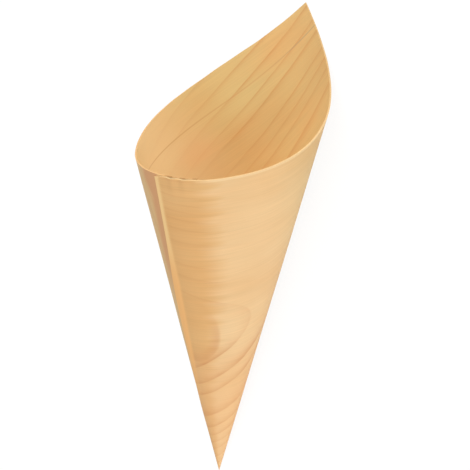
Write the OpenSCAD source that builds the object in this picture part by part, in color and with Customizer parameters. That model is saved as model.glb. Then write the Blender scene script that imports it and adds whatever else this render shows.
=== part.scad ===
// A food cone rolled from one thin sheet of pine veneer, lying on its side.
// The sheet is right-angled. One of its corners makes the tip and the opposite corner the high peak of
// the mouth. One full turn takes up the quarter circle of that corner, and the two strips beyond the
// quarter lie over each other and are glued, so the seam is a strip of even width.
// A place on the sheet is given by its distance from the tip and its angle there: the angle is 0 along
// the front end of the quarter, and grows round the cone to the right.

/* [Sheet] */
// Tip to the front rim, square to that rim
front_side = 133; // [90:0.5:200]
// Tip to the back rim, square to that rim
back_side = 132.5; // [90:0.5:200]
// Thickness of the veneer
veneer = 0.6; // [0.4:0.05:1.2]

/* [Seam] */
// Width of the outer layer's strip beyond the quarter
lead = 4.2; // [2:0.1:8]
// Width of the glued overlap
overlap = 18; // [12:0.5:26]
// Width over which the outer layer comes down off the inner edge
ramp = 12; // [6:0.5:18]
// Length of the tip in which the layers are pressed into one point
tip_press = 30; // [20:1:45]

/* [Section] */
// Share by which the round section bulges towards the seam, like a drop
drop_bulge = 0.028; // [0:0.002:0.05]
// Place of that bulge, in degrees round the cone from the front end of the quarter
drop_at = -17; // [-40:1:10]

/* [Hidden] */

// Sheet angle that one turn takes up
quarter = 90;
// Width of the inner layer's strip beyond the quarter
tuck = overlap - lead;
// Sheet angles of the seam's outer corner, of the hidden inner corner under it, and of the peak
seam_angle = -atan2(lead, front_side);
tuck_angle = atan2(tuck, back_side);
peak_angle = atan2(back_side, front_side);
// Lengths of the two cut edges, from beside the tip to the mouth
seam_length = norm([lead, front_side]);
tuck_length = norm([tuck, back_side]);
// Near the tip the cut edges stop swinging round it, and the ramp stops widening
most_swing = 22;
most_ramp = 10;

// Columns of facets in the overlap, from there to the peak, and from the peak back to the seam
overlap_cols = 10;
front_cols = 52;
back_cols = 58;
peak_col = overlap_cols + front_cols;
cols = peak_col + back_cols;
// Rows of facets from tip to mouth, closer together near the tip
rows = 14;
row_crowding = 1.5;
// Share of the columns, opposite the seam, that run straight from the tip to the rim
still = 0.4;
// Steps of the table that turns a sheet angle into a direction round the cone
steps = 240;
step = 360 / steps;

function unit(v) = v / norm(v);

function ease(x) =
    let (t = min(1, max(0, x)))
    t * t * (3 - 2 * t);

// The straight line up the cone at a direction round it, for a mean slope of the wall
function ray(around, mean) =
    let (slope = mean * (1 + drop_bulge * cos(3 * (around - drop_at))))
    unit([slope * cos(around), slope * sin(around), 1]);

function between(a, b) = 2 * asin(norm(a - b) / 2);

// Sheet angle taken up from direction 0 to each step round the cone
function taken_up(mean) = [
    for (k = 0, sum = 0;
         k <= steps;
         sum = sum + between(ray(k * step, mean), ray((k + 1) * step, mean)), k = k + 1)
    sum
];

// Mean slope at which one turn takes up the quarter
function settled(mean, tries) =
    tries == 0 ? mean : settled(mean * quarter / taken_up(mean)[steps], tries - 1);

mean_slope = settled(tan(asin(quarter / 360)), 4);
half_angle = atan(mean_slope);
turn_angles = taken_up(mean_slope);
turn_table = [for (k = [0:steps]) [turn_angles[k], k * step]];

// Direction round the cone of a sheet angle
function around(angle) =
    let (turns = floor(angle / quarter))
    lookup(angle - turns * quarter, turn_table) + 360 * turns;

// A point of the sheet, lifted square off the outer face of the single wall
function placed(reach, angle, lift) =
    (reach + lift / tan(half_angle)) * ray(around(angle), mean_slope) - [0, 0, lift / sin(half_angle)];

// Distance from the tip to the rim
function rim(angle) = angle < peak_angle ? front_side / cos(angle) : back_side / sin(angle);

// Sheet angles of the two cut edges at a distance from the tip, both seen from the seam
function outer_edge(reach) = -asin(min(lead / reach, sin(most_swing)));
function inner_edge(reach) = asin(min(tuck / reach, sin(most_swing)));

function ramp_angle(reach) = min(ramp / reach * 180 / PI, most_ramp);

// Height of the outer layer off the single wall: a full layer over the overlap, none past the ramp
function raised(angle, reach, pressed) =
    veneer * min(1, pressed / tip_press) * (1 - ease((angle - inner_edge(reach)) / ramp_angle(reach)));

// Sheet angle of a column at the rim
function column(j) =
    j > cols ? quarter + column(j - cols)
    : j <= overlap_cols ? seam_angle + (tuck_angle - seam_angle) * j / overlap_cols
    : j <= peak_col ? tuck_angle + (peak_angle - tuck_angle) * (j - overlap_cols) / front_cols
    : peak_angle + (seam_angle + quarter - peak_angle) * (j - peak_col) / back_cols;

// How far a column follows its cut edge: all the way beside the edge, not at all opposite it
function follows(share) = ease((abs(2 * share - 1) - still) / (1 - still));

function row(i) = pow(i / rows, row_crowding);

// Outer face: columns 0 to cols, with the seam's edge on the first and the wall under it on the last
function outer_point(i, j) =
    let (
        angle = column(j) + (outer_edge(row(i) * seam_length) - seam_angle) * follows(j / cols),
        reach = row(i) * rim(column(j))
    )
    placed(reach, angle, raised(angle, reach, reach));

// Inner face: the same columns from the inner edge on, once round
inner_tip = veneer / tan(half_angle);
function inner_point(i, j) =
    let (
        swing = inner_edge(row(i) * tuck_length) - tuck_angle,
        angle = column(j) + swing * follows((j - overlap_cols) / cols),
        pressed = row(i) * (rim(column(j)) - inner_tip),
        reach = inner_tip + pressed
    )
    placed(reach, angle, raised(angle, reach, pressed) - veneer);

// Mouth of the overlap, between the layers: rims of the outer layer's underside and of the layer below
function under_point(j) = placed(rim(column(j)), column(j), 0);
function below_point(j) = placed(rim(column(j) + quarter), column(j), 0);

wall_points = concat(
    [placed(0, 0, 0)],
    [for (i = [1:rows], j = [0:cols]) outer_point(i, j)],
    [placed(inner_tip, 0, -veneer)],
    [for (i = [1:rows], j = [0:cols]) inner_point(i, j + overlap_cols)],
    [for (j = [0:overlap_cols - 1]) under_point(j)],
    [for (j = [1:overlap_cols]) below_point(j)]
);

// Places of those points in the list
face_points = 1 + rows * (cols + 1);
function outer_at(i, j) = i == 0 ? 0 : 1 + (i - 1) * (cols + 1) + j;
function inner_at(i, j) = face_points + outer_at(i, j - overlap_cols);
function under_at(j) = j == overlap_cols ? inner_at(rows, j) : 2 * face_points + j;
function below_at(j) = j == 0 ? outer_at(rows, cols) : 2 * face_points + overlap_cols + j - 1;

function halves(a, b, c, d) = [[a, b, c], [a, c, d]];
// A strip of facets between two cut lines that start in one point at the tip
function strip(line_a, line_b) = [
    for (i = [0:rows - 1])
        each i == 0
            ? [[line_a[1], line_a[0], line_b[1]]]
            : halves(line_a[i + 1], line_a[i], line_b[i], line_b[i + 1])
];

outer_faces = [
    for (j = [0:cols - 1])
        each strip([for (i = [0:rows]) outer_at(i, j + 1)], [for (i = [0:rows]) outer_at(i, j)])
];
inner_faces = [
    for (j = [overlap_cols:overlap_cols + cols - 1])
        each strip([for (i = [0:rows]) inner_at(i, j)], [for (i = [0:rows]) inner_at(i, j + 1)])
];
seam_edge = concat(
    strip([for (i = [0:rows]) outer_at(i, 0)], [for (i = [0:rows]) outer_at(i, cols)]),
    [[outer_at(rows, 0), outer_at(rows, cols), under_at(0)]]
);
hidden_edge = concat(
    strip(
        [for (i = [0:rows]) inner_at(i, overlap_cols + cols)],
        [for (i = [0:rows]) inner_at(i, overlap_cols)]
    ),
    [[inner_at(rows, overlap_cols + cols), inner_at(rows, overlap_cols), below_at(overlap_cols)]]
);
single_rim = [
    for (j = [overlap_cols:cols - 1])
        each halves(outer_at(rows, j + 1), outer_at(rows, j), inner_at(rows, j), inner_at(rows, j + 1))
];
double_rim = [
    for (j = [0:overlap_cols - 1])
        each concat(
            halves(outer_at(rows, j + 1), outer_at(rows, j), under_at(j), under_at(j + 1)),
            halves(under_at(j + 1), under_at(j), below_at(j), below_at(j + 1)),
            halves(below_at(j + 1), below_at(j), inner_at(rows, j + cols), inner_at(rows, j + 1 + cols))
        )
];
wall_faces = concat(outer_faces, inner_faces, seam_edge, hidden_edge, single_rim, double_rim);

// Weight of each cell of the wall, twice where two layers lie together, and its centre
function cell(i, j) = [
    for (at = [outer_at(i, j), outer_at(i + 1, j), outer_at(i + 1, j + 1), outer_at(i, j + 1)])
        wall_points[at]
];
cells = [for (i = [0:rows - 1], j = [0:cols - 1]) cell(i, j)];
cell_layers = [for (i = [0:rows - 1], j = [0:cols - 1]) j < overlap_cols ? 2 : 1];
cell_weights = [
    for (k = [0:len(cells) - 1])
        let (c = cells[k])
        norm(cross(c[2] - c[0], c[3] - c[1])) * cell_layers[k]
];
cell_centres = [for (c = cells) (c[0] + c[1] + c[2] + c[3]) / 4];
balance = (cell_weights * cell_centres) / (cell_weights * [for (w = cell_weights) 1]);

// The straight column on which the cone comes to rest: the one that brings its balance point lowest
function upwards(j) = unit(cross(wall_points[outer_at(rows, j)], wall_points[outer_at(rows, j + 1)]));
rest_cols = [ceil(cols * (1 - still) / 2):floor(cols * (1 + still) / 2) - 1];
rest_heights = [for (j = rest_cols) [upwards(j) * balance, j]];
lowest = min([for (h = rest_heights) h[0]]);
rest_col = [for (h = rest_heights) if (h[0] == lowest) h[1]][0];

// The cone laid on that column, mouth towards +X, with the middle of its floor area at the origin
up = upwards(rest_col);
along = unit(
    unit(wall_points[outer_at(rows, rest_col)]) + unit(wall_points[outer_at(rows, rest_col + 1)])
);
aside = cross(up, along);
lying = [for (p = wall_points) [p * along, p * aside, p * up]];
function middle(values) = (min(values) + max(values)) / 2;
centre = [middle([for (p = lying) p[0]]), middle([for (p = lying) p[1]]), 0];

module veneer_cone() {
    color("#e2b578")
        translate(-centre)
            polyhedron(points = lying, faces = wall_faces);
}

veneer_cone();
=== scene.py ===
"""Looks of a food cone rolled from one sheet of pine veneer, lying on its side on a pale floor."""

import bmesh
import bpy
import numpy as np
from mathutils import Matrix, Vector


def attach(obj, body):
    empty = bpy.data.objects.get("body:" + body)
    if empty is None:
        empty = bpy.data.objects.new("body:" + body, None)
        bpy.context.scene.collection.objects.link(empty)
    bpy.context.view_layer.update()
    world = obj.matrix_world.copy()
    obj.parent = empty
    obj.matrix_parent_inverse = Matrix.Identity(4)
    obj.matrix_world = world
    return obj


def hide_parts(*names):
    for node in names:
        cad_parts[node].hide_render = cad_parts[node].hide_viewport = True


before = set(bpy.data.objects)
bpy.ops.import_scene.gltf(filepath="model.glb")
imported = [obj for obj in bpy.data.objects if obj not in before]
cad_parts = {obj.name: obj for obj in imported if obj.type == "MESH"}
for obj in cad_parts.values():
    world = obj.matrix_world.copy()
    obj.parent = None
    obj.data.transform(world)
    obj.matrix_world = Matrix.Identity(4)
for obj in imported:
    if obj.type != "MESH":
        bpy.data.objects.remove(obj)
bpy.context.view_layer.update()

# A millimetre in metres, and the angles of a whole turn and of the corner that the turn takes up
MM = 0.001
TURN = 2.0 * np.pi
QUARTER = np.pi / 2

# Sizes of the sheet as in the solid, in millimetres, and angles in radians
FRONT_SIDE = 133.0
BACK_SIDE = 132.5
VENEER = 0.6
LEAD = 4.2
OVERLAP = 18.0
TUCK = OVERLAP - LEAD
RAMP = 12.0
DROP_BULGE = 0.028
DROP_AT = np.radians(-17)
MOST_SWING = np.radians(22)
MOST_RAMP = np.radians(10)
SEAM_ANGLE = -np.arctan2(LEAD, FRONT_SIDE)
TUCK_ANGLE = np.arctan2(TUCK, BACK_SIDE)
PEAK_ANGLE = np.arctan2(BACK_SIDE, FRONT_SIDE)
PEAK_REACH = np.hypot(BACK_SIDE, FRONT_SIDE)
# The cone rests on one facet of the solid, counted from the overlap to the peak
SOLID_COLS = 52
REST_COL = 48
REST_FROM = TUCK_ANGLE + (PEAK_ANGLE - TUCK_ANGLE) * REST_COL / SOLID_COLS
REST_TO = TUCK_ANGLE + (PEAK_ANGLE - TUCK_ANGLE) * (REST_COL + 1) / SOLID_COLS
# Steps of the table that turns a sheet angle into a direction, and rounds in which the slope settles
TURN_STEPS = 2400
SETTLE_ROUNDS = 4

# Fineness of the mesh: columns in the overlap, on to the peak and back to the seam, rows to the rim,
# points across the thickness, and rows in the slit between the layers
OVERLAP_COLS = 44
FRONT_COLS = 168
BACK_COLS = 184
COLS = OVERLAP_COLS + FRONT_COLS + BACK_COLS
ROWS = 100
ROW_CROWDING = 1.25
ACROSS_POINTS = 7
SLIT_ROWS = 7
# Share of the columns, opposite the seam, that run straight from the tip to the rim
STILL = 0.4
# Closer to the tip than this, widths are taken as at this distance
NEAR_TIP = 1.0
# Points within this many metres are welded, and corners sharper than this angle stay sharp
WELD = 2e-7
SHARP_ANGLE = np.radians(38)
# Millimetres to one unit of the piece's map
MAP_UNIT = 100.0

# Knife-cut edges are rounded over by this much, fading out over so many points at their ends
EDGE_ROUND = 0.07
ROUND_FADE = 2.0
# The layers are pressed together over more of the tip than in the solid, along a power of the distance
TIP_PRESS = 60.0
TIP_PRESS_POWER = 1.5
# Towards the seam the back rim was cut a little high, so the inner layer stands above the outer one,
# and it slopes down again along the overlap
BACK_RISE = 1.5
BACK_RISE_FROM = 1.33
BACK_RISE_FULL = 1.55
BACK_DROP = 0.4
# The front rim rises from its corner at the seam and slopes down again along the overlap
FRONT_RISE = 0.85
FRONT_RISE_OVER = 0.04
FRONT_DROP_FROM = 0.015
FRONT_DROP_OVER = 0.165
# The back rim bellies out at one place
RIM_BELLY = 0.45
RIM_BELLY_AT = 1.2
RIM_BELLY_WIDTH = 0.09
# The knife wavered along the rim: how fast each wave turns with the sheet's angle, and its height
RIM_WAVES = ((41.0, 0.08), (97.0, 0.048))
# The seam's edge bows out a little about this distance from the tip
SEAM_BOW = 1.6
SEAM_BOW_AT = 78.0
SEAM_BOW_WIDTH = 22.0
# At the mouth the layers stand apart by so much in two places: shares of the overlap at which the first
# lies, by which the next follows, from which the gap begins, and over which it does
GAP = 0.5
GAP_AT = 0.43
GAP_APART = 0.29
GAP_FROM = 0.26
GAP_FADE = 0.1
# Between those places this share of the gap is left, and below the mouth it closes over a depth
GAP_LEFT = 0.1
GAP_DEPTH = 11.0
GAP_LEAST_DEPTH = 0.5
GAP_CLOSING_POWER = 1.5
GAP_ARCH_POWER = 0.6
# The peak is pulled over a little towards the front, from this distance off the tip
PEAK_PULL = 0.9
PEAK_PULL_FROM = 158.0
# The thin sheet swelled unevenly when it was rolled damp: each wave's height, the length up the wall in
# which it turns by a radian, how fast it turns with the sheet's angle, and its phase. That third number
# is a multiple of 4, so that the wave closes over the quarter.
SWELL_WAVES = (
    (0.04, 19.0, 8.0, 0.6),
    (0.04, 19.0, -8.0, 0.6),
    (0.048, 13.0, 12.0, 0.0),
    (0.04, 23.0, -20.0, np.pi / 2),
)
# It begins at a distance from the tip, and where the sine of twice the angle off the rest line has a value,
# and is full after a further stretch of each
SWELL_FROM = 25.0
SWELL_OVER = 60.0
SWELL_OFF_REST = 0.15
SWELL_OFF_REST_OVER = 0.5

# Camera of the photograph, in metres, with the picture's upward direction along the cone
CAMERA_AT = Vector((0.13408, -0.62424, 0.54621))
CAMERA_LOOKS_AT = Vector((0.00265, -0.00308, 0.02051))
PICTURE_UP = Vector((0.9652, 0.2545, 0.0594))
LENS_MM = 165.06
SENSOR_MM = 36.0
NEAR_CLIP = 0.01

# White surroundings, brighter on the side of the camera and the mouth, between two cosines off that side
BRIGHT_SIDE = (0.70, -0.62, 0.35)
BRIGHT_SURROUND = 1.33
BRIGHT_FACING = 0.5
DIM_SURROUND = 0.25
DIM_FACING = -0.4
# A soft lamp that looks into the mouth
LAMP_AT = Vector((0.90, -0.52, 0.14))
LAMP_SIZE = 0.5
LAMP_WATTS = 1.7
# Half the floor's width in metres, and its own white for the camera
FLOOR_HALF = 3.0
FLOOR_GLOW_SHARE = 0.85
FLOOR_GLOW = 1.06


def ease(x):
    """Smooth step: 0 below 0, 1 above 1, and 3t^2 - 2t^3 between."""
    t = np.clip(x, 0.0, 1.0)
    return t * t * (3.0 - 2.0 * t)


def bell(x, middle, width):
    """Bell of height 1: e to the minus square of the distance from its middle, in widths."""
    return np.exp(-(((x - middle) / width) ** 2))


def ray(around, mean):
    """Unit direction up the wall: slope mean * (1 + bulge * cos 3(around - place)) out, and 1 up."""
    slope = mean * (1.0 + DROP_BULGE * np.cos(3.0 * (around - DROP_AT)))
    v = np.stack([slope * np.cos(around), slope * np.sin(around), np.ones_like(around)], -1)
    return v / np.linalg.norm(v, axis=-1, keepdims=True)


def taken_up(mean):
    """Sheet angle used from direction 0 to each of many directions: the summed angles between the rays."""
    around = np.linspace(0.0, TURN, TURN_STEPS + 1)
    chord = np.linalg.norm(np.diff(ray(around, mean), axis=0), axis=1)
    return around, np.concatenate([[0.0], np.cumsum(2.0 * np.arcsin(chord / 2.0))])


# Mean slope at which one turn takes up the quarter
mean_slope = np.tan(np.arcsin(QUARTER / TURN))
for _ in range(SETTLE_ROUNDS):
    mean_slope *= QUARTER / taken_up(mean_slope)[1][-1]
half_angle = np.arctan(mean_slope)
turn_around, turn_angles = taken_up(mean_slope)
# Distance from the tip at which the inner face begins
INNER_TIP = VENEER / np.tan(half_angle)


def wall_ray(angle):
    """Ray at a sheet angle: whole turns are taken off, and the rest is looked up in the rolled table."""
    turns = np.floor(angle / QUARTER)
    return ray(np.interp(angle - turns * QUARTER, turn_angles, turn_around), mean_slope)


def placed(reach, angle, lift):
    """Point of the sheet: reach along the ray from the tip, and lift square off the single wall's outside.
    Near the peak the ray is turned a little, eased in with the reach."""
    pull = PEAK_PULL / PEAK_REACH * ease((reach - PEAK_PULL_FROM) / (PEAK_REACH - PEAK_PULL_FROM))
    along = (reach + lift / np.tan(half_angle))[..., None] * wall_ray(angle - pull)
    return along - (lift / np.sin(half_angle))[..., None] * np.array([0.0, 0.0, 1.0])


def rim(angle):
    """Distance from the tip to the cut rim: front side over cosine to the peak, then back side over sine.
    The front side is eased up from its corner at the seam and down along the overlap. The back side has a
    bell-shaped belly, and is eased up towards the seam and down along the overlap. Sine waves are added,
    which fade at the seam."""
    corner = FRONT_RISE * ease((angle - SEAM_ANGLE) / FRONT_RISE_OVER)
    corner = corner * (1.0 - ease((angle - FRONT_DROP_FROM) / FRONT_DROP_OVER))
    front = (FRONT_SIDE + corner) / np.cos(np.minimum(angle, PEAK_ANGLE))
    rise = BACK_RISE * ease((angle - BACK_RISE_FROM) / (BACK_RISE_FULL - BACK_RISE_FROM))
    drop = BACK_DROP * ease((angle - QUARTER) / TUCK_ANGLE)
    belly = RIM_BELLY * bell(angle, RIM_BELLY_AT, RIM_BELLY_WIDTH)
    back = (BACK_SIDE + rise - drop + belly) / np.sin(np.maximum(angle, PEAK_ANGLE))
    waves = sum(height * np.sin(around * angle) for around, height in RIM_WAVES)
    waver = waves * np.sin(2.0 * angle) ** 2
    return np.where(angle < PEAK_ANGLE, front, back) + waver - EDGE_ROUND


def cut_edge(width, reach):
    """Sheet angle of a cut edge beside the quarter: arcsine of width over reach, held at the tip."""
    return np.arcsin(np.minimum(width / np.maximum(reach, NEAR_TIP), np.sin(MOST_SWING)))


def raised(angle, reach, pressed):
    """Height of the outer layer: a full layer over the overlap, eased off over the ramp, and growing with a
    power of the distance from the tip."""
    width = np.minimum(RAMP / np.maximum(reach, NEAR_TIP), MOST_RAMP)
    off = ease((angle - cut_edge(TUCK, reach)) / width)
    return VENEER * np.minimum(1.0, pressed / TIP_PRESS) ** TIP_PRESS_POWER * (1.0 - off)


def gap_arch(angle):
    """Half a sine wave over the overlap, 0 at the seam's edge and at the hidden edge, and place across."""
    share = np.clip((angle - SEAM_ANGLE) / (TUCK_ANGLE - SEAM_ANGLE), 0.0, 1.0)
    return np.maximum(np.sin(np.pi * share), 0.0), share


def gap(angle, reach):
    """Distance between the layers: cosine-squared waves under a power of the arch, closing with a power of
    the distance below the rim."""
    arch, share = gap_arch(angle)
    waves = np.cos(np.pi * (share - GAP_AT) / GAP_APART) ** 2 * ease((share - GAP_FROM) / GAP_FADE)
    depth = GAP_DEPTH * np.sqrt(arch)
    opened = np.clip((reach - rim(angle) + depth) / np.maximum(depth, GAP_LEAST_DEPTH), 0.0, 1.0)
    width = GAP * arch**GAP_ARCH_POWER * (GAP_LEFT + (1.0 - GAP_LEFT) * waves)
    return width * opened**GAP_CLOSING_POWER


def swell(angle, reach):
    """Slow unevenness of the wall: slanting sine waves, eased off at the tip and on the rest line."""
    waves = sum(
        height * np.sin(reach / length + around * angle + phase)
        for height, length, around, phase in SWELL_WAVES
    )
    off_rest = np.abs(np.sin(2.0 * (angle - (REST_FROM + REST_TO) / 2.0)))
    off_floor = ease((off_rest - SWELL_OFF_REST) / SWELL_OFF_REST_OVER)
    return waves * off_floor * ease((reach - SWELL_FROM) / SWELL_OVER)


def follows(share):
    """How far a column of the mesh swings with its cut edge: fully beside it, not at all opposite it."""
    return ease((np.abs(2.0 * share - 1.0) - STILL) / (1.0 - STILL))


def face(angles, edge_width, edge_bow, edge_sign, start):
    """Reach, angle and pressed length on one face: rows from tip to rim, by columns that swing with its
    edge, which bows out by a bell. The last row is as tall as the step between the two layers' rims, and
    closes on the first column."""
    top = rim(angles)
    step = np.where(np.arange(len(angles)) > 0, top[-1] - top[0], 0.0)
    shares = np.linspace(0.0, 1.0, ROWS)[:, None] ** ROW_CROWDING
    pressed = np.concatenate([shares * (top - step - start), (top - start)[None, :]])
    reach = start + pressed
    width = edge_width + edge_bow * bell(reach[:, :1], SEAM_BOW_AT, SEAM_BOW_WIDTH)
    edge = edge_sign * cut_edge(width, reach[:, :1])
    angle = angles + (edge - edge[-1]) * follows(np.linspace(0.0, 1.0, len(angles)))
    return reach, angle, pressed


def sheet_map(reach, angle):
    """Place on the flat sheet in units of the map: reach by sine and by cosine of the sheet angle."""
    return np.stack([reach * np.sin(angle), reach * np.cos(angle)], -1) / MAP_UNIT


def edge_map(length, across):
    """Place on a cut edge in units of the map: distance along it, and across the veneer's thickness."""
    return np.stack(np.broadcast_arrays(length, across * VENEER), -1) / MAP_UNIT


# Share of the thickness, closer together at the corners, and the round that goes with it
across = (1.0 - np.cos(np.linspace(0.0, np.pi, ACROSS_POINTS))) / 2.0
edge_bulge = EDGE_ROUND * np.sqrt(np.maximum(1.0 - (2.0 * across - 1.0) ** 2, 0.0))
# Materials of the piece, in the order in which it takes them
OUTER_PLY, INNER_PLY, CUT = 0, 1, 2


def rim_strip(angles, top_lift, bottom_lift, rims):
    """Cut rim: columns along it by points across the thickness, rounded by half an ellipse."""
    number = np.arange(len(angles))
    ends = np.clip(np.minimum(number, number[::-1]) / ROUND_FADE, 0.0, 1.0)
    lift = top_lift[:, None] + (bottom_lift - top_lift)[:, None] * across
    reach = rims[:, None] + edge_bulge * ends[:, None]
    angle = np.repeat(angles[:, None], ACROSS_POINTS, 1)
    return placed(reach, angle, lift), edge_map((rims * angles)[:, None], across), CUT


def side_strip(reach, angle, top_lift, bottom_lift, outwards):
    """Cut side: rows from the tip by points across the thickness, rounded in the direction outwards."""
    ends = np.clip(np.arange(len(reach))[::-1] / ROUND_FADE, 0.0, 1.0) * ease(reach / TIP_PRESS)
    lift = top_lift[:, None] + (bottom_lift - top_lift)[:, None] * across
    turned = outwards * edge_bulge * ends[:, None] / np.maximum(reach[:, None], NEAR_TIP)
    reach_grid = np.repeat(reach[:, None], ACROSS_POINTS, 1)
    return placed(reach_grid, angle[:, None] + turned, lift), edge_map(reach[:, None], across), CUT


def veneer_blocks():
    """Grids of the whole sheet: both faces, both cut sides, the rims, and the slit between the layers."""
    first_turn = np.concatenate(
        [
            np.linspace(SEAM_ANGLE, TUCK_ANGLE, OVERLAP_COLS, endpoint=False),
            np.linspace(TUCK_ANGLE, PEAK_ANGLE, FRONT_COLS, endpoint=False),
            np.linspace(PEAK_ANGLE, SEAM_ANGLE + QUARTER, BACK_COLS, endpoint=False),
        ]
    )
    columns = np.concatenate([first_turn, first_turn[: OVERLAP_COLS + 1] + QUARTER])
    lap = columns[: OVERLAP_COLS + 1]
    single = columns[OVERLAP_COLS : COLS + 1]

    reach, angle, pressed = face(columns[: COLS + 1], LEAD, SEAM_BOW, -1.0, 0.0)
    outside = raised(angle, reach, pressed) + gap(angle, reach) + swell(angle, reach)
    yield placed(reach, angle, outside), sheet_map(reach, angle), OUTER_PLY
    seam_reach, seam_angle = reach[:-1, 0], angle[:-1, 0]
    yield side_strip(seam_reach, seam_angle, outside[:-1, 0], swell(seam_angle, seam_reach), -1.0)

    reach, angle, pressed = face(columns[OVERLAP_COLS:], TUCK, 0.0, 1.0, INNER_TIP)
    inside = raised(angle, reach, pressed) - VENEER + swell(angle, reach)
    yield placed(reach, angle, inside), sheet_map(reach, angle), INNER_PLY
    hidden_top = np.append(inside[:-1, 0], swell(angle[-1, 0], reach[-1, -1]))
    yield side_strip(reach[:, -1], angle[:, 0], hidden_top, inside[:, -1], 1.0)

    lap_rim = rim(lap)
    low_rim = rim(lap + QUARTER)
    lap_under = gap(lap, lap_rim) + swell(lap, lap_rim)
    yield rim_strip(lap, outside[-1, : OVERLAP_COLS + 1], lap_under, lap_rim)
    yield rim_strip(single, outside[-1, OVERLAP_COLS:], inside[-1, : len(single)], rim(single))
    yield rim_strip(lap + QUARTER, swell(lap, low_rim), inside[-1, -len(lap) :], low_rim)

    depth = GAP_DEPTH * np.sqrt(gap_arch(lap)[0]) * np.linspace(0.0, 1.0, SLIT_ROWS)[:, None]
    reach = lap_rim - depth
    angle = np.repeat(lap[None, :], len(reach), 0)
    under = gap(angle, reach) + swell(angle, reach)
    yield placed(reach, angle, under), sheet_map(reach, angle), INNER_PLY
    reach = np.concatenate([low_rim[None, :], reach])
    angle = np.repeat(lap[None, :], len(reach), 0)
    yield placed(reach, angle, swell(angle, reach)), sheet_map(reach, angle + QUARTER), OUTER_PLY


def laid_down(points):
    """Turns the cone so that its rest line is on the floor, mouth towards +X, and centres it there."""
    rest = wall_ray(np.array([REST_FROM, REST_TO]))
    up = np.cross(rest[0], rest[1])
    up /= np.linalg.norm(up)
    along = rest.sum(0) / np.linalg.norm(rest.sum(0))
    lying = points @ np.stack([along, np.cross(up, along), up], 1)
    middle = (lying.min(0) + lying.max(0)) / 2.0
    return (lying - [middle[0], middle[1], 0.0]) * MM


def grid_quads(rows, cols, first):
    """Corner numbers of a grid's cells: each takes its own point, the next, and two of the row above."""
    corner = first + np.arange(rows - 1)[:, None] * cols + np.arange(cols - 1)
    return np.stack([corner, corner + 1, corner + cols + 1, corner + cols], -1).reshape(-1, 4)


def veneer_cone(materials):
    """One closed mesh: the grids set side by side, welded where they meet, with normals turned outwards."""
    blocks = list(veneer_blocks())
    firsts = np.cumsum([0] + [points[..., 0].size for points, _, _ in blocks])
    points = laid_down(np.concatenate([p.reshape(-1, 3) for p, _, _ in blocks]))
    flat = np.concatenate([m.reshape(-1, 2) for _, m, _ in blocks])
    quads = [grid_quads(*p.shape[:2], first) for (p, _, _), first in zip(blocks, firsts)]
    slots = np.concatenate([np.full(len(q), s) for q, (_, _, s) in zip(quads, blocks)])
    quads = np.concatenate(quads)

    mesh = bpy.data.meshes.new("veneer_cone_sheet")
    mesh.from_pydata(points.tolist(), [], quads.tolist())
    mesh.uv_layers.new(name="sheet").data.foreach_set("uv", flat[quads.ravel()].ravel())
    mesh.polygons.foreach_set("material_index", slots)
    mesh.polygons.foreach_set("use_smooth", np.ones(len(quads), bool))
    for material in materials:
        mesh.materials.append(material)

    work = bmesh.new()
    work.from_mesh(mesh)
    bmesh.ops.remove_doubles(work, verts=work.verts, dist=WELD)
    bmesh.ops.recalc_face_normals(work, faces=work.faces)
    work.to_mesh(mesh)
    work.free()
    mesh.set_sharp_from_angle(angle=SHARP_ANGLE)
    piece = bpy.data.objects.new("veneer_cone_sheet", mesh)
    bpy.context.scene.collection.objects.link(piece)
    return piece


def linear(code):
    """Linear colour of an sRGB hex value, by the sRGB standard's own curve."""
    s = np.array([int(code[i : i + 2], 16) for i in (1, 3, 5)]) / 255.0
    light = np.where(s <= 0.04045, s / 12.92, ((s + 0.055) / 1.055) ** 2.4)
    return (*light.tolist(), 1.0)


def add(tree, kind, inputs=(), **settings):
    """Adds a node: settings go to it by name, and each input takes a value or another node's output."""
    node = tree.nodes.new("ShaderNode" + kind)
    for name, value in settings.items():
        setattr(node, name, value)
    for socket, value in dict(inputs).items():
        if isinstance(value, bpy.types.Node):
            value = value.outputs[0]
        if isinstance(value, bpy.types.NodeSocket):
            tree.links.new(value, node.inputs[socket])
        else:
            node.inputs[socket].default_value = value
    return node


def empty_tree(owner):
    """Node tree of a new material or world, with nothing in it yet."""
    owner.use_nodes = True
    owner.node_tree.nodes.clear()
    return owner.node_tree


# Sockets of a colour mix: its share, the two colours and the result
SHARE, FIRST, SECOND, MIXED = 0, 6, 7, 2
# Sockets of a range: what it reads, between which two readings, and what it gives at the first and the
# second of them, which is 0 and 1 where nothing is said
READ, FROM, TO, START, END = range(5)
# Settings of a coat of colour that covers, of one that tints, and of a soft range
COVER = {"data_type": "RGBA"}
TINT = {"data_type": "RGBA", "blend_type": "MULTIPLY"}
SOFT = {"interpolation_type": "SMOOTHSTEP"}

# Places in the materials are millimetres on the flat sheet: v up from the tip along the front end of the
# quarter, and u to the right of it. At the back end, under and beside the seam, u runs up from the tip.

# The outer ply's fibres run round the cone. It was sliced from a leaning, tapering trunk: the rings lie
# about a heart line at a height on the sheet, and the slice passes at a depth beside the trunk's middle.
# Each ring ends at an age, in millimetres of growth.
OUTER_WOOD = {
    "grain": (1.0, 0.0),
    "lean": (-0.16, 1.0, 0.0),
    "heart": 67.0,
    "depth": 20.0,
    "taper": (0.26, 0.0, 0.0),
    "wander": 1.8,
    "first": 23.1,
    "rings": (
        *(26.6, 32.3, 36.5, 45.7, 50.4, 54.0, 57.2, 60.1, 63.6, 66.5, 70.2),
        *(73.3, 77.1, 80.4, 84.3, 88.6, 92.4, 97.1, 101.5, 106.6, 112.0),
    ),
    "early": "#f3cf9d",
    "warm": "#eec48f",
    "late": "#cf8450",
}
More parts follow.
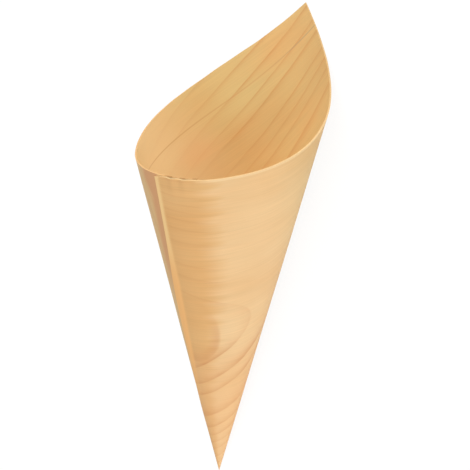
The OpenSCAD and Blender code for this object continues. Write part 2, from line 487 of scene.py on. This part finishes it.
# The inner ply's fibres run up the front, and its rings cross them at a slant
INNER_WOOD = {
    "grain": (0.0, 1.0),
    "lean": (1.0, -0.24, 0.0),
    "heart": -15.8,
    "depth": 0.0,
    "taper": (0.0, 0.0, 0.0),
    "wander": 1.4,
    "first": 0.0,
    "rings": (8, 21, 33, 44, 55, 66, 79.7, 86.2, 90.7, 95.7, 104.2, 108.7, 115.7, 122.5, 130, 138),
    "early": "#eac383",
    "warm": "#ecb878",
    "late": "#d48242",
}
# Growth rings are looked up over this many millimetres and wander in waves of a length, and late wood
# ends within a share of a ring
RING_SPAN = 150.0
RING_WANDER_LENGTH = 28.0
RING_END = 0.1
# The higher the power, the thinner the late wood in a ring: low and high on the outer ply, and inside
LOW_RING_POWER = 3.2
HIGH_RING_POWER = 7.0
INNER_RING_POWER = 6.0
# Rings on the outer ply are full below the first of these heights, and faint above the second
RINGS_FULL = 72.0
RINGS_FAINT = 84.0
# Length and width of the marks that the fibres make. Real fibres are some hundredths of a millimetre
# wide, too fine to show, so the fine ones are drawn half a millimetre wide.
FIBRE_MARKS = {"fine": (30.0, 0.5), "strand": (90.0, 3.0), "drift": (70.0, 30.0)}
# The raw surface: fibres stand up by hundredths of a millimetre, and late wood is higher and smoother
FIBRE_HEIGHT = 0.04
FIBRE_RELIEF = 0.35
LATE_HEIGHT = 0.4
EARLY_ROUGHNESS = 0.62
LATE_ROUGHNESS = 0.5
PINE_IOR = 1.5
PINE_SPECULAR = 0.2
# Middle and half widths of the oval round the heart outside, and of the blush inside
OVAL_AT = (0.0, 67.5, 0.0)
OVAL_HALF = (11.2, 15.5, 1.0)
BLUSH_AT = (109.5, 63.0, 0.0)
BLUSH_HALF = (10.0, 15.0, 1.0)
# The split inside: its least u, the height at which it has that, and how much it bows off with the square
SPLIT_AT = 119.6
SPLIT_BOW_AT = 70.0
SPLIT_BOW = 0.00055
# The painted highlight on the lip of the seam is broader by this much below the mouth
LIP_HIGHLIGHT_WIDENS = 0.7
# Painted shade: the line up to which the overlap side is tinted darker, as if turned from the light, is
# made ragged by this much, as a slope on the sheet, and is held this far from the tip
SHADE_LINE_RAGGED = 0.15
SHADE_LINE_NEAR_TIP = 5.0
# Dashes of dried glue and painted shade of the gap on the covered rim: place of the first along the rim,
# and distance to the next
DASH_AT = 213.1
DASH_APART = 5.2
# Length and width of the marks on a cut edge
EDGE_MARKS = (1.2, 0.25, 1.0)


def along_grain(wood, long, wide):
    """Scale of a pattern whose marks are so many millimetres long with the fibres, and wide across them."""
    u, v = wood["grain"]
    return (u / long + v / wide, v / long + u / wide, 0.0)


def ring_steps(ramp, first, rings):
    """Share of all the rings that has grown at each age: a ramp with one equal rise to each ring's end."""
    ramp.elements.remove(ramp.elements[1])
    ramp.elements[0].position = first / RING_SPAN
    for count, ring in enumerate(rings, 1):
        grey = count / len(rings)
        ramp.elements.new(ring / RING_SPAN).color = (grey, grey, grey, 1.0)


def pine_rings(tree, mm, wood, power):
    """Late wood of sliced pine, from 0 to 1. A ring's age is its distance from the trunk's middle,
    sqrt(aside^2 + depth^2), plus a taper along the trunk, and late wood is a power of each ring's share."""
    wander = add(tree, "TexNoise", {"Vector": mm, "Scale": 1 / RING_WANDER_LENGTH, "Detail": 4.0})
    lean = add(tree, "VectorMath", {0: mm, 1: wood["lean"]}, operation="DOT_PRODUCT").outputs["Value"]
    moved = add(tree, "Math", {0: wander, 1: wood["wander"], 2: lean}, operation="MULTIPLY_ADD")
    aside = add(tree, "Math", {0: moved, 1: wood["heart"] + wood["wander"] / 2}, operation="SUBTRACT")
    spoke = add(tree, "CombineXYZ", {0: aside, 1: wood["depth"]})
    radius = add(tree, "VectorMath", {0: spoke}, operation="LENGTH").outputs["Value"]
    taper = add(tree, "VectorMath", {0: mm, 1: wood["taper"]}, operation="DOT_PRODUCT").outputs["Value"]
    age = add(tree, "Math", {0: radius, 1: taper}, operation="ADD")
    growth = add(tree, "ValToRGB", {0: add(tree, "Math", {0: age, 1: RING_SPAN}, operation="DIVIDE")})
    ring_steps(growth.color_ramp, wood["first"], wood["rings"])
    count = add(tree, "Math", {0: growth, 1: len(wood["rings"])}, operation="MULTIPLY")
    grown = add(tree, "Math", {0: count}, operation="FRACT")
    end = add(tree, "MapRange", {READ: grown, FROM: 1.0, TO: 1.0 - RING_END})
    tooth = add(tree, "Math", {0: grown, 1: end}, operation="MULTIPLY")
    return add(tree, "Math", {0: tooth, 1: power}, operation="POWER")


def pine_fibres(tree, mm, wood):
    """Fine fibres, broader strands and slow drifts of tone: noise that is stretched along the fibres."""
    noise = {}
    for name, size in FIBRE_MARKS.items():
        place = add(tree, "VectorMath", {0: mm, 1: along_grain(wood, *size)}, operation="MULTIPLY")
        noise[name] = add(tree, "TexNoise", {"Vector": place, "Scale": 1.0, "Detail": 3.0})
    return noise


def pine_tone(tree, noise, late, wood):
    """Colour of the wood: early wood drifts between two tones, late wood covers it, fibres shade both."""
    drift = add(tree, "MapRange", {READ: noise["drift"], FROM: 0.38, TO: 0.62})
    early = {SHARE: drift, FIRST: linear(wood["early"]), SECOND: linear(wood["warm"])}
    tone = add(tree, "Mix", early, **COVER).outputs[MIXED]
    ringed = {SHARE: late, FIRST: tone, SECOND: linear(wood["late"])}
    tone = add(tree, "Mix", ringed, **COVER).outputs[MIXED]
    fibres = add(tree, "MapRange", {READ: noise["fine"], FROM: 0.25, TO: 0.75, START: 0.955, END: 1.04})
    strands = add(tree, "MapRange", {READ: noise["strand"], FROM: 0.3, TO: 0.7, START: 0.98, END: 1.015})
    shade = add(tree, "Math", {0: fibres, 1: strands}, operation="MULTIPLY")
    return add(tree, "Mix", {SHARE: 1.0, FIRST: tone, SECOND: shade}, **TINT).outputs[MIXED]


def raw_pine(tree, colour, coats, late, fibres):
    """Shader of sliced raw pine under its coats of tone, stain, wear and painted light and shade, each a
    share, a
    tone and a way to lie on the last: matt, a little smoother on late wood, with fibres that stand up."""
    for share, tone, lies in coats:
        colour = add(tree, "Mix", {SHARE: share, FIRST: colour, SECOND: tone}, **lies).outputs[MIXED]
    height = add(tree, "Math", {0: late, 1: LATE_HEIGHT, 2: fibres}, operation="MULTIPLY_ADD")
    relief = {"Height": height, "Strength": FIBRE_RELIEF, "Distance": FIBRE_HEIGHT * MM}
    finish = {
        "Base Color": colour,
        "Roughness": add(tree, "MapRange", {READ: late, START: EARLY_ROUGHNESS, END: LATE_ROUGHNESS}),
        "Normal": add(tree, "Bump", relief),
        "IOR": PINE_IOR,
        "Specular IOR Level": PINE_SPECULAR,
    }
    add(tree, "OutputMaterial", {"Surface": add(tree, "BsdfPrincipled", finish)})


def sheet_millimetres(tree):
    """Place on the flat sheet in millimetres, whole and as its two parts, from the piece's own map."""
    place = add(tree, "UVMap", uv_map="sheet")
    mm = add(tree, "VectorMath", {0: place, "Scale": MAP_UNIT}, operation="SCALE")
    parts = add(tree, "SeparateXYZ", {0: mm})
    return mm, parts.outputs["X"], parts.outputs["Y"]


def from_oval(tree, mm, middle, half):
    """Distance from the middle of an oval, 1 on its outline: length of the place over the half widths."""
    off = add(tree, "VectorMath", {0: mm, 1: middle}, operation="SUBTRACT")
    stretched = add(tree, "VectorMath", {0: off, 1: half}, operation="DIVIDE")
    return add(tree, "VectorMath", {0: stretched}, operation="LENGTH").outputs["Value"]


def outer_late_wood(tree, mm, u, v, noise):
    """Late wood outside: broad rings low on the front, thin and faint ones above, fainter near the tip and
    patchy along the fibres, and the broad soft oval of the ring that is cut nearly along itself."""
    thinner = {READ: v, FROM: RINGS_FULL, TO: RINGS_FAINT, START: LOW_RING_POWER, END: HIGH_RING_POWER}
    late = pine_rings(tree, mm, OUTER_WOOD, add(tree, "MapRange", thinner, **SOFT))
    faint = add(tree, "MapRange", {READ: u, FROM: 6.0, TO: 50.0, START: 0.42, END: 0.14}, **SOFT)
    fuller = {READ: v, FROM: RINGS_FAINT, TO: RINGS_FULL, START: faint, END: 0.9}
    downwards = add(tree, "MapRange", fuller, **SOFT)
    by_tip = add(tree, "MapRange", {READ: v, FROM: 13.0, TO: 24.0, START: 0.6, END: 1.0}, **SOFT)
    patchy = add(tree, "MapRange", {READ: noise["strand"], FROM: 0.35, TO: 0.65, START: 0.55, END: 1.0})
    looped = add(tree, "MapRange", {READ: u, FROM: 11.0, TO: 17.0, START: 1.0, END: 0.3}, **SOFT)
    open_loops = add(tree, "MapRange", {READ: v, FROM: 56.0, TO: 64.0, START: 1.0, END: looped}, **SOFT)
    for share in (downwards, by_tip, patchy, open_loops):
        late = add(tree, "Math", {0: late, 1: share}, operation="MULTIPLY")
    oval = from_oval(tree, mm, OVAL_AT, OVAL_HALF)
    below = add(tree, "MapRange", {READ: v, FROM: 76.0, TO: 62.0, START: 0.04, END: 0.29}, **SOFT)
    inner_side = add(tree, "MapRange", {READ: oval, FROM: 0.6, TO: 0.92, END: below}, **SOFT)
    band = add(tree, "MapRange", {READ: oval, FROM: 1.06, TO: 0.93, END: inner_side}, **SOFT)
    return add(tree, "Math", {0: late, 1: band}, operation="MAXIMUM")


def shade_and_yellowing_share(tree, u, v, noise):
    """Painted shade: darker, deeper colour on the overlap side of the wall, where it turns from the light,
    up to a ragged line that runs straight from the tip and draws in lower down. All of the sheet has
    yellowed a little towards the front rim."""
    off_tip = add(tree, "Math", {0: v, 1: SHADE_LINE_NEAR_TIP}, operation="MAXIMUM")
    slope = add(tree, "Math", {0: u, 1: off_tip}, operation="DIVIDE")
    ragged = add(tree, "Math", {0: noise["strand"], 1: SHADE_LINE_RAGGED, 2: slope}, operation="MULTIPLY_ADD")
    narrower = add(tree, "MapRange", {READ: v, FROM: 66.0, TO: 40.0, END: 0.05}, **SOFT)
    drawn_in = add(tree, "Math", {0: ragged, 1: narrower}, operation="ADD")
    shaded_side = add(tree, "MapRange", {READ: drawn_in, FROM: 0.285, TO: 0.16, END: 0.78}, **SOFT)
    weaker = add(tree, "MapRange", {READ: v, FROM: 46.0, TO: 64.0, START: 0.55, END: 1.0}, **SOFT)
    shaded_side = add(tree, "Math", {0: shaded_side, 1: weaker}, operation="MULTIPLY")
    yellowed = add(tree, "MapRange", {READ: v, FROM: 92.0, TO: 130.0, END: 0.25}, **SOFT)
    return add(tree, "Math", {0: shaded_side, 1: yellowed}, operation="MAXIMUM")


def stain_and_shadow_share(tree, u, v):
    """Stain of squeezed-out glue, with painted shadow of the seam's raised edge, on the bare wall beside
    the seam's upper part, wider at the mouth.
    """
    wider = add(tree, "MapRange", {READ: u, FROM: 122.0, TO: 131.0, END: 3.5}, **SOFT)
    from_seam = add(tree, "Math", {0: v, 1: wider}, operation="SUBTRACT")
    beside = add(tree, "MapRange", {READ: from_seam, FROM: LEAD + 6.2, TO: LEAD + 3.2}, **SOFT)
    upper = add(tree, "MapRange", {READ: u, FROM: 73.0, TO: 103.0}, **SOFT)
    bared = add(tree, "MapRange", {READ: v, FROM: LEAD - 1.0, TO: LEAD - 0.2, END: upper}, **SOFT)
    return add(tree, "Math", {0: beside, 1: bared}, operation="MULTIPLY")


def lip_highlight_share_and_tone(tree, u, v):
    """Painted highlight on the lip of the seam: broader and more orange below the mouth, and fading towards
    the tip.
    """
    lower = add(tree, "MapRange", {READ: v, FROM: 112.0, TO: 85.0}, **SOFT)
    from_lip = add(tree, "Math", {0: lower, 1: -LIP_HIGHLIGHT_WIDENS, 2: u}, operation="MULTIPLY_ADD")
    off_tip = add(tree, "MapRange", {READ: v, FROM: 26.0, TO: 56.0, END: 0.9}, **SOFT)
    lip = add(tree, "MapRange", {READ: from_lip, FROM: 2.7 - LEAD, TO: 0.9 - LEAD, END: off_tip}, **SOFT)
    tones = {SHARE: lower, FIRST: linear("#ffd898"), SECOND: linear("#ffc47f")}
    return lip, add(tree, "Mix", tones, **COVER).outputs[MIXED]


def glue_and_shade_spots(tree, place, first, apart):
    """Wave of spots of glue and painted shade along a line, 1 in a spot and -1 between: cosine of the place
    past the first spot, with a whole turn to each spacing."""
    from_first = {0: place, 1: TURN / apart, 2: -first * TURN / apart}
    phase = add(tree, "Math", from_first, operation="MULTIPLY_ADD")
    return add(tree, "Math", {0: phase}, operation="COSINE")


def outer_pine():
    """Sliced pine veneer, outer face: pale honey wood with rings that loop low on the front, reddish near
    the tip. It gives the eye a satin, lightly fibrous skin, with a painted highlight on the seam's lip, a
    glue stain beside the seam that is partly painted shadow, and painted shade on the overlap side."""
    material = bpy.data.materials.new("sliced pine, outer ply")
    tree = empty_tree(material)
    mm, u, v = sheet_millimetres(tree)
    noise = pine_fibres(tree, mm, OUTER_WOOD)
    late = outer_late_wood(tree, mm, u, v, noise)
    colour = pine_tone(tree, noise, late, OUTER_WOOD)
    # The wood is warmer towards the tip, and less red round to the right
    warmer = add(tree, "MapRange", {READ: v, FROM: 64.0, TO: 30.0, END: 0.4}, **SOFT)
    right = add(tree, "MapRange", {READ: u, FROM: 34.0, TO: 66.0}, **SOFT)
    # Fibres along the front rim are rubbed pale by the knife, past the overlap
    past_lap = add(tree, "MapRange", {READ: u, FROM: 10.0, TO: 22.0, END: 0.4}, **SOFT)
    by_rim = {READ: v, FROM: FRONT_SIDE - 1.2, TO: FRONT_SIDE - 0.5, END: past_lap}
    # Dried glue and painted shade of the gap sit in brown spots on the face that the overlap hides, where
    # the layers stand apart
    spots = glue_and_shade_spots(tree, v, LEAD - OVERLAP * GAP_AT, OVERLAP * GAP_APART)
    at_mouth = add(tree, "MapRange", {READ: u, FROM: 90.0, TO: 110.0}, **SOFT)
    below_rim = add(tree, "MapRange", {READ: u, FROM: 133.6, TO: 132.9, END: at_mouth}, **SOFT)
    spotted = add(tree, "MapRange", {READ: spots, FROM: -0.6, TO: 0.9, END: below_rim}, **SOFT)
    hidden = {READ: v, FROM: LEAD - 0.6, TO: LEAD - 1.4, END: spotted}
    coats = [
        (warmer, linear("#fcc58a"), COVER),
        (right, linear("#f1f8f6"), TINT),
        # Painted shade on the overlap side, left of a line from the tip, and yellowing towards the front
        # rim
        (shade_and_yellowing_share(tree, u, v, noise), linear("#f4dfbf"), TINT),
        # Glue stain and painted shadow of the seam's edge, beside the seam
        (stain_and_shadow_share(tree, u, v), linear("#dea879"), COVER),
        # Painted highlight along the seam's lip
        (*lip_highlight_share_and_tone(tree, u, v), COVER),
        (add(tree, "MapRange", by_rim, **SOFT), linear("#f9dfb0"), COVER),
        # Glue and painted shade in the gap between the layers, on the hidden face
        (add(tree, "MapRange", hidden, **SOFT), linear("#ab783f"), COVER),
    ]
    raw_pine(tree, colour, coats, late, noise["fine"])
    return material


def split_share_and_tone(tree, u, v):
    """Hair split that runs with the fibres in a slight bow, fainter lower down, dusty near the peak."""
    from_bow = add(tree, "Math", {0: v, 1: SPLIT_BOW_AT}, operation="SUBTRACT")
    square = add(tree, "Math", {0: from_bow, 1: 2.0}, operation="POWER")
    line = add(tree, "Math", {0: square, 1: SPLIT_BOW, 2: SPLIT_AT}, operation="MULTIPLY_ADD")
    aside = add(tree, "Math", {0: u, 1: line}, operation="SUBTRACT")
    off = add(tree, "Math", {0: aside}, operation="ABSOLUTE")
    hair = add(tree, "MapRange", {READ: off, FROM: 0.38, TO: 0.08, END: 0.6}, **SOFT)
    upper = add(tree, "MapRange", {READ: v, FROM: 15.0, TO: 70.0, START: 0.4, END: 1.0}, **SOFT)
    dusty = add(tree, "MapRange", {READ: v, FROM: 105.0, TO: 130.0}, **SOFT)
    tones = {SHARE: dusty, FIRST: linear("#cb9a62"), SECOND: linear("#b39a78")}
    split = add(tree, "Math", {0: hair, 1: upper}, operation="MULTIPLY")
    return split, add(tree, "Mix", tones, **COVER).outputs[MIXED]


def inner_pine():
    """Sliced pine veneer, inner face: warmer wood with thin slanting rings. It gives the eye long lines
    that run into the mouth, and one split along the fibres."""
    material = bpy.data.materials.new("sliced pine, inner ply")
    tree = empty_tree(material)
    mm, u, v = sheet_millimetres(tree)
    noise = pine_fibres(tree, mm, INNER_WOOD)
    late = pine_rings(tree, mm, INNER_WOOD, INNER_RING_POWER)
    patchy = add(tree, "MapRange", {READ: noise["strand"], FROM: 0.35, TO: 0.65, START: 0.6, END: 1.0})
    by_rim = add(tree, "MapRange", {READ: v, FROM: 66.0, TO: 96.0, START: 0.5, END: 1.0}, **SOFT)
    backwards = add(tree, "MapRange", {READ: u, FROM: 94.0, TO: 108.0, START: 0.75, END: 1.0}, **SOFT)
    for share in (patchy, by_rim, backwards):
        late = add(tree, "Math", {0: late, 1: share}, operation="MULTIPLY")
    colour = pine_tone(tree, noise, late, INNER_WOOD)
    # It is less red round towards the back, and pales towards the seam
    deeper = add(tree, "MapRange", {READ: v, FROM: 120.0, TO: 95.0, START: 0.65, END: 1.0}, **SOFT)
    less_red = add(tree, "MapRange", {READ: u, FROM: 80.0, TO: 106.0, END: deeper}, **SOFT)
    by_back = add(tree, "MapRange", {READ: u, FROM: 114.0, TO: 130.0, START: 0.9, END: 0.66}, **SOFT)
    paler = add(tree, "MapRange", {READ: v, FROM: 81.0, TO: 36.0, END: by_back}, **SOFT)
    # One patch of the wood has a reddish blush
    off_blush = from_oval(tree, mm, BLUSH_AT, BLUSH_HALF)
    blush = add(tree, "MapRange", {READ: off_blush, FROM: 1.0, TO: 0.1, END: 0.25}, **SOFT)
    # Dried glue and painted shade of the slit between the layers brown the face that lies on the overlap
    at_mouth = add(tree, "MapRange", {READ: v, FROM: 90.0, TO: 110.0}, **SOFT)
    hidden = add(tree, "MapRange", {READ: u, FROM: TUCK - 0.4, TO: TUCK - 1.4, END: at_mouth}, **SOFT)
    coats = [
        (less_red, linear("#e8f0ef"), TINT),
        (paler, linear("#fbe0ac"), COVER),
        (blush, linear("#f0ad78"), COVER),
        (*split_share_and_tone(tree, u, v), COVER),
        # Glue and painted shade in the slit
        (hidden, linear("#966734"), COVER),
    ]
    raw_pine(tree, colour, coats, late, noise["fine"])
    return material


def cut_pine():
    """Knife-cut edge of two crossed plies: it gives the eye a pale thin line along the mouth, duller
    towards the peak and warmer past it, with flecks of end grain and a line of glue between the plies."""
    material = bpy.data.materials.new("cut pine edge")
    tree = empty_tree(material)
    mm, along, through = sheet_millimetres(tree)
    duller = add(tree, "MapRange", {READ: along, FROM: 60.0, TO: 100.0}, **SOFT)
    back = add(tree, "MapRange", {READ: along, FROM: 140.0, TO: 158.0}, **SOFT)
    # The rim that the overlap covers is browned by glue, with darker dashes of glue and painted shade of
    # the gap
    covered = add(tree, "MapRange", {READ: along, FROM: 208.5, TO: 211.5}, **SOFT)
    spots = glue_and_shade_spots(tree, along, DASH_AT, DASH_APART)
    dashes = add(tree, "MapRange", {READ: spots, FROM: -0.3, TO: 0.8, END: covered}, **SOFT)
    marks = add(tree, "VectorMath", {0: mm, 1: EDGE_MARKS}, operation="DIVIDE")
    grain = add(tree, "TexNoise", {"Vector": marks, "Scale": 1.0, "Detail": 2.0})
    flecks = add(tree, "MapRange", {READ: grain, FROM: 0.45, TO: 0.7, END: 0.5})
    from_middle = add(tree, "Math", {0: through, 1: VENEER / 2}, operation="SUBTRACT")
    off = add(tree, "Math", {0: from_middle}, operation="ABSOLUTE")
    glue = add(tree, "MapRange", {READ: off, FROM: 0.06, TO: 0.02, END: 0.5}, **SOFT)
    coats = [
        (duller, linear("#d9b682"), COVER),
        (back, linear("#e6b87c"), COVER),
        (covered, linear("#cf9f66"), COVER),
        # Dark dashes: glue and painted shade of the gap between the layers
        (dashes, linear("#a8753c"), COVER),
        (flecks, linear("#dfb580"), COVER),
        (glue, linear("#c19460"), COVER),
    ]
    raw_pine(tree, linear("#e9c68f"), coats, glue, grain)
    return material


def seen_directly(tree):
    """1 for rays that show the background: straight from the camera, mirrored or let through."""
    path = add(tree, "LightPath")
    clear = {0: path.outputs["Is Glossy Ray"], 1: path.outputs["Is Transmission Ray"]}
    other = add(tree, "Math", clear, operation="MAXIMUM")
    return add(tree, "Math", {0: path.outputs["Is Camera Ray"], 1: other}, operation="MAXIMUM")


def studio_floor():
    """Floor of four corners, far wider than the camera sees. Its matt white paint looks even to the camera,
    with the cone's shadow kept."""
    sides = ((-1, -1), (1, -1), (1, 1), (-1, 1))
    corners = [(FLOOR_HALF * x, FLOOR_HALF * y, 0.0) for x, y in sides]
    mesh = bpy.data.meshes.new("studio_floor")
    mesh.from_pydata(corners, [], [(0, 1, 2, 3)])
    material = bpy.data.materials.new("matt white floor")
    tree = empty_tree(material)
    share = add(tree, "Math", {0: seen_directly(tree), 1: FLOOR_GLOW_SHARE}, operation="MULTIPLY")
    diffuse = add(tree, "BsdfDiffuse", {"Color": linear("#f2f2f2")})
    glow = add(tree, "Emission", {"Strength": FLOOR_GLOW})
    add(tree, "OutputMaterial", {"Surface": add(tree, "MixShader", {0: share, 1: diffuse, 2: glow})})
    mesh.materials.append(material)
    floor = bpy.data.objects.new("studio_floor", mesh)
    bpy.context.scene.collection.objects.link(floor)
    return floor


def studio_light():
    """White surroundings, brighter on the side of the camera and the mouth, and a large soft lamp."""
    world = bpy.data.worlds.new("studio")
    bpy.context.scene.world = world
    tree = empty_tree(world)
    direction = add(tree, "TexCoord").outputs["Generated"]
    facing = add(tree, "VectorMath", {0: direction, 1: BRIGHT_SIDE}, operation="DOT_PRODUCT")
    brighter = {FROM: DIM_FACING, TO: BRIGHT_FACING, START: DIM_SURROUND, END: BRIGHT_SURROUND}
    dome = add(tree, "MapRange", {READ: facing.outputs["Value"], **brighter}, **SOFT)
    strength = add(tree, "MapRange", {READ: seen_directly(tree), START: dome, END: 1.0})
    background = add(tree, "Background", {"Color": linear("#ffffff"), "Strength": strength})
    add(tree, "OutputWorld", {"Surface": background})

    lamp = bpy.data.lights.new("soft_lamp", "AREA")
    lamp.shape = "DISK"
    lamp.size = LAMP_SIZE
    lamp.energy = LAMP_WATTS
    holder = bpy.data.objects.new("soft_lamp", lamp)
    holder.location = LAMP_AT
    holder.rotation_euler = (CAMERA_LOOKS_AT - LAMP_AT).to_track_quat("-Z", "Y").to_euler()
    bpy.context.scene.collection.objects.link(holder)


def photo_camera():
    """Camera turned with its back away from the place it looks at, and its top to the picture's top."""
    back = (CAMERA_AT - CAMERA_LOOKS_AT).normalized()
    right = PICTURE_UP.cross(back).normalized()
    turned = Matrix((right, back.cross(right), back)).transposed()
    data = bpy.data.cameras.new("photo_camera")
    data.lens = LENS_MM
    data.sensor_width = SENSOR_MM
    data.sensor_fit = "HORIZONTAL"
    data.clip_start = NEAR_CLIP
    camera = bpy.data.objects.new("photo_camera", data)
    camera.matrix_world = Matrix.Translation(CAMERA_AT) @ turned.to_4x4()
    bpy.context.scene.collection.objects.link(camera)
    bpy.context.scene.camera = camera


bpy.context.scene.view_settings.view_transform = "Standard"
photo_camera()
studio_light()
floor = studio_floor()

cone = veneer_cone([outer_pine(), inner_pine(), cut_pine()])
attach(cone, "root")
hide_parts("veneer_cone")
